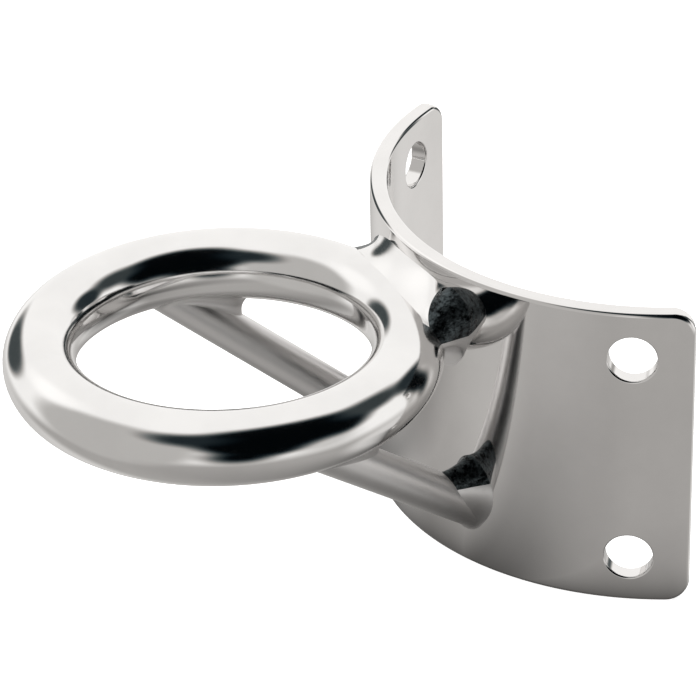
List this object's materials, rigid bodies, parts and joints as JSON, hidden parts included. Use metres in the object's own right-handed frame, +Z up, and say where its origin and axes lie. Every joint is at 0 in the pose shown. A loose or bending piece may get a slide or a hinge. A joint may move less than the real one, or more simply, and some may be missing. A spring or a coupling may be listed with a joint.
{
  "type": "pad eye",
  "caption": "Curved plate that fastens to a round mast and carries a horizontal ring braced by two struts, for a pole end, hook or line.",
  "frame": {"origin": "middle of the hollow face that lies on the mast, at half the height of the plate", "axes": "+Z up along the mast, -Y out from the mast through the middle of the ring, +X to the right seen from behind the mast looking out"},
  "size_m": [0.0892, 0.0992, 0.0544],
  "materials": {
    "polished_plate": "polished",
    "polished_bar": "polished",
    "weld_metal": "polished"
  },
  "bodies": {
    "root": {"mast_plate": "polished_plate", "eye_ring": "polished_bar", "right_strut": "polished_bar", "left_strut": "polished_bar", "ring_closing_weld": "weld_metal", "neck_top_weld": "weld_metal", "neck_bottom_weld": "weld_metal", "neck_right_weld": "weld_metal", "neck_left_weld": "weld_metal", "right_strut_foot_weld": "weld_metal", "left_strut_foot_weld": "weld_metal", "right_strut_ring_weld": "weld_metal", "left_strut_ring_weld": "weld_metal"}
  },
  "joints": []
}
